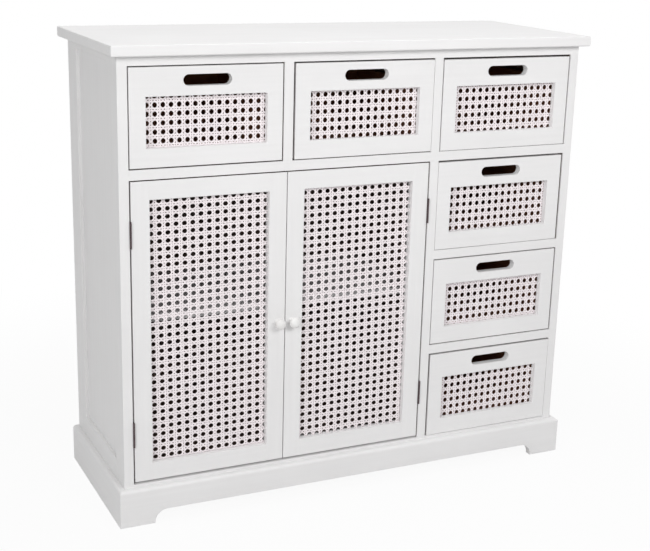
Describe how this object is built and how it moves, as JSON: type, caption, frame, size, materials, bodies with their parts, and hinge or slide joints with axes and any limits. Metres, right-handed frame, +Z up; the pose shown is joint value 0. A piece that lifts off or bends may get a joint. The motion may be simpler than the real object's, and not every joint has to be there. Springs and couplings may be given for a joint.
{
  "type": "sideboard",
  "caption": "White painted sideboard on a skirted base, with cane-filled drawers along the top and in a right-hand column, and a cupboard with a pair of cane-filled doors.",
  "frame": {"origin": "on the floor, under the middle of the whole piece, knobs and top included", "axes": "+X to the right along the front, +Y from the front to the back, +Z up"},
  "size_m": [0.8, 0.31, 0.729],
  "materials": {
    "white_paint": "satin white paint",
    "cane": "woven cane, white washed",
    "bare_wood": "bare softwood",
    "steel": "brushed",
    "catch_plastic": "matte"
  },
  "bodies": {
    "cabinet": {"top_panel": "white_paint", "left_front_stile": "white_paint", "left_rear_stile": "white_paint", "left_side_rails": "white_paint", "left_side_panel": "white_paint", "right_front_stile": "white_paint", "right_rear_stile": "white_paint", "right_side_rails": "white_paint", "right_side_panel": "white_paint", "front_top_rail": "white_paint", "drawer_deck": "white_paint", "left_upper_partition": "white_paint", "right_upper_partition": "white_paint", "lower_partition": "white_paint", "column_rails": "white_paint", "bottom_deck": "white_paint", "cupboard_shelf": "white_paint", "shelf_pins": "steel", "back_panel": "bare_wood", "front_skirt": "white_paint", "left_skirt": "white_paint", "right_skirt": "white_paint", "drawer_runners": "bare_wood", "door_catches": "catch_plastic", "left_hinge_frame_leaves": "steel", "right_hinge_frame_leaves": "steel"},
    "left_door": {"left_door_stiles": "white_paint", "left_door_rails": "white_paint", "left_door_cane": "cane", "left_door_beads": "white_paint", "left_door_knob": "white_paint", "left_hinge_door_leaves": "steel", "left_hinge_pins": "steel", "left_door_strike": "steel"},
    "right_door": {"right_door_stiles": "white_paint", "right_door_rails": "white_paint", "right_door_cane": "cane", "right_door_beads": "white_paint", "right_door_knob": "white_paint", "right_hinge_door_leaves": "steel", "right_hinge_pins": "steel", "right_door_strike": "steel"},
    "top_left_drawer": {"top_left_drawer_front": "white_paint", "top_left_drawer_cane": "cane", "top_left_drawer_box": "bare_wood"},
    "top_middle_drawer": {"top_middle_drawer_front": "white_paint", "top_middle_drawer_cane": "cane", "top_middle_drawer_box": "bare_wood"},
    "top_right_drawer": {"top_right_drawer_front": "white_paint", "top_right_drawer_cane": "cane", "top_right_drawer_box": "bare_wood"},
    "column_lower_drawer": {"column_lower_drawer_front": "white_paint", "column_lower_drawer_cane": "cane", "column_lower_drawer_box": "bare_wood"},
    "column_middle_drawer": {"column_middle_drawer_front": "white_paint", "column_middle_drawer_cane": "cane", "column_middle_drawer_box": "bare_wood"},
    "column_upper_drawer": {"column_upper_drawer_front": "white_paint", "column_upper_drawer_cane": "cane", "column_upper_drawer_box": "bare_wood"}
  },
  "joints": [
    {"name": "left_door_hinge", "type": "hinge", "parent": "cabinet", "child": "left_door", "pos_m": [-0.3723, -0.1389, 0.3012], "axis": [0, 0, -1], "range_deg": [0, 110]},
    {"name": "right_door_hinge", "type": "hinge", "parent": "cabinet", "child": "right_door", "pos_m": [0.1183, -0.1389, 0.3012], "axis": [0, 0, 1], "range_deg": [0, 90]},
    {"name": "top_left_drawer_slide", "type": "slide", "parent": "cabinet", "child": "top_left_drawer", "axis": [0, -1, 0], "range_m": [0, 0.2]},
    {"name": "top_middle_drawer_slide", "type": "slide", "parent": "cabinet", "child": "top_middle_drawer", "axis": [0, -1, 0], "range_m": [0, 0.2]},
    {"name": "top_right_drawer_slide", "type": "slide", "parent": "cabinet", "child": "top_right_drawer", "axis": [0, -1, 0], "range_m": [0, 0.2]},
    {"name": "column_lower_drawer_slide", "type": "slide", "parent": "cabinet", "child": "column_lower_drawer", "axis": [0, -1, 0], "range_m": [0, 0.2]},
    {"name": "column_middle_drawer_slide", "type": "slide", "parent": "cabinet", "child": "column_middle_drawer", "axis": [0, -1, 0], "range_m": [0, 0.2]},
    {"name": "column_upper_drawer_slide", "type": "slide", "parent": "cabinet", "child": "column_upper_drawer", "axis": [0, -1, 0], "range_m": [0, 0.2]}
  ]
}
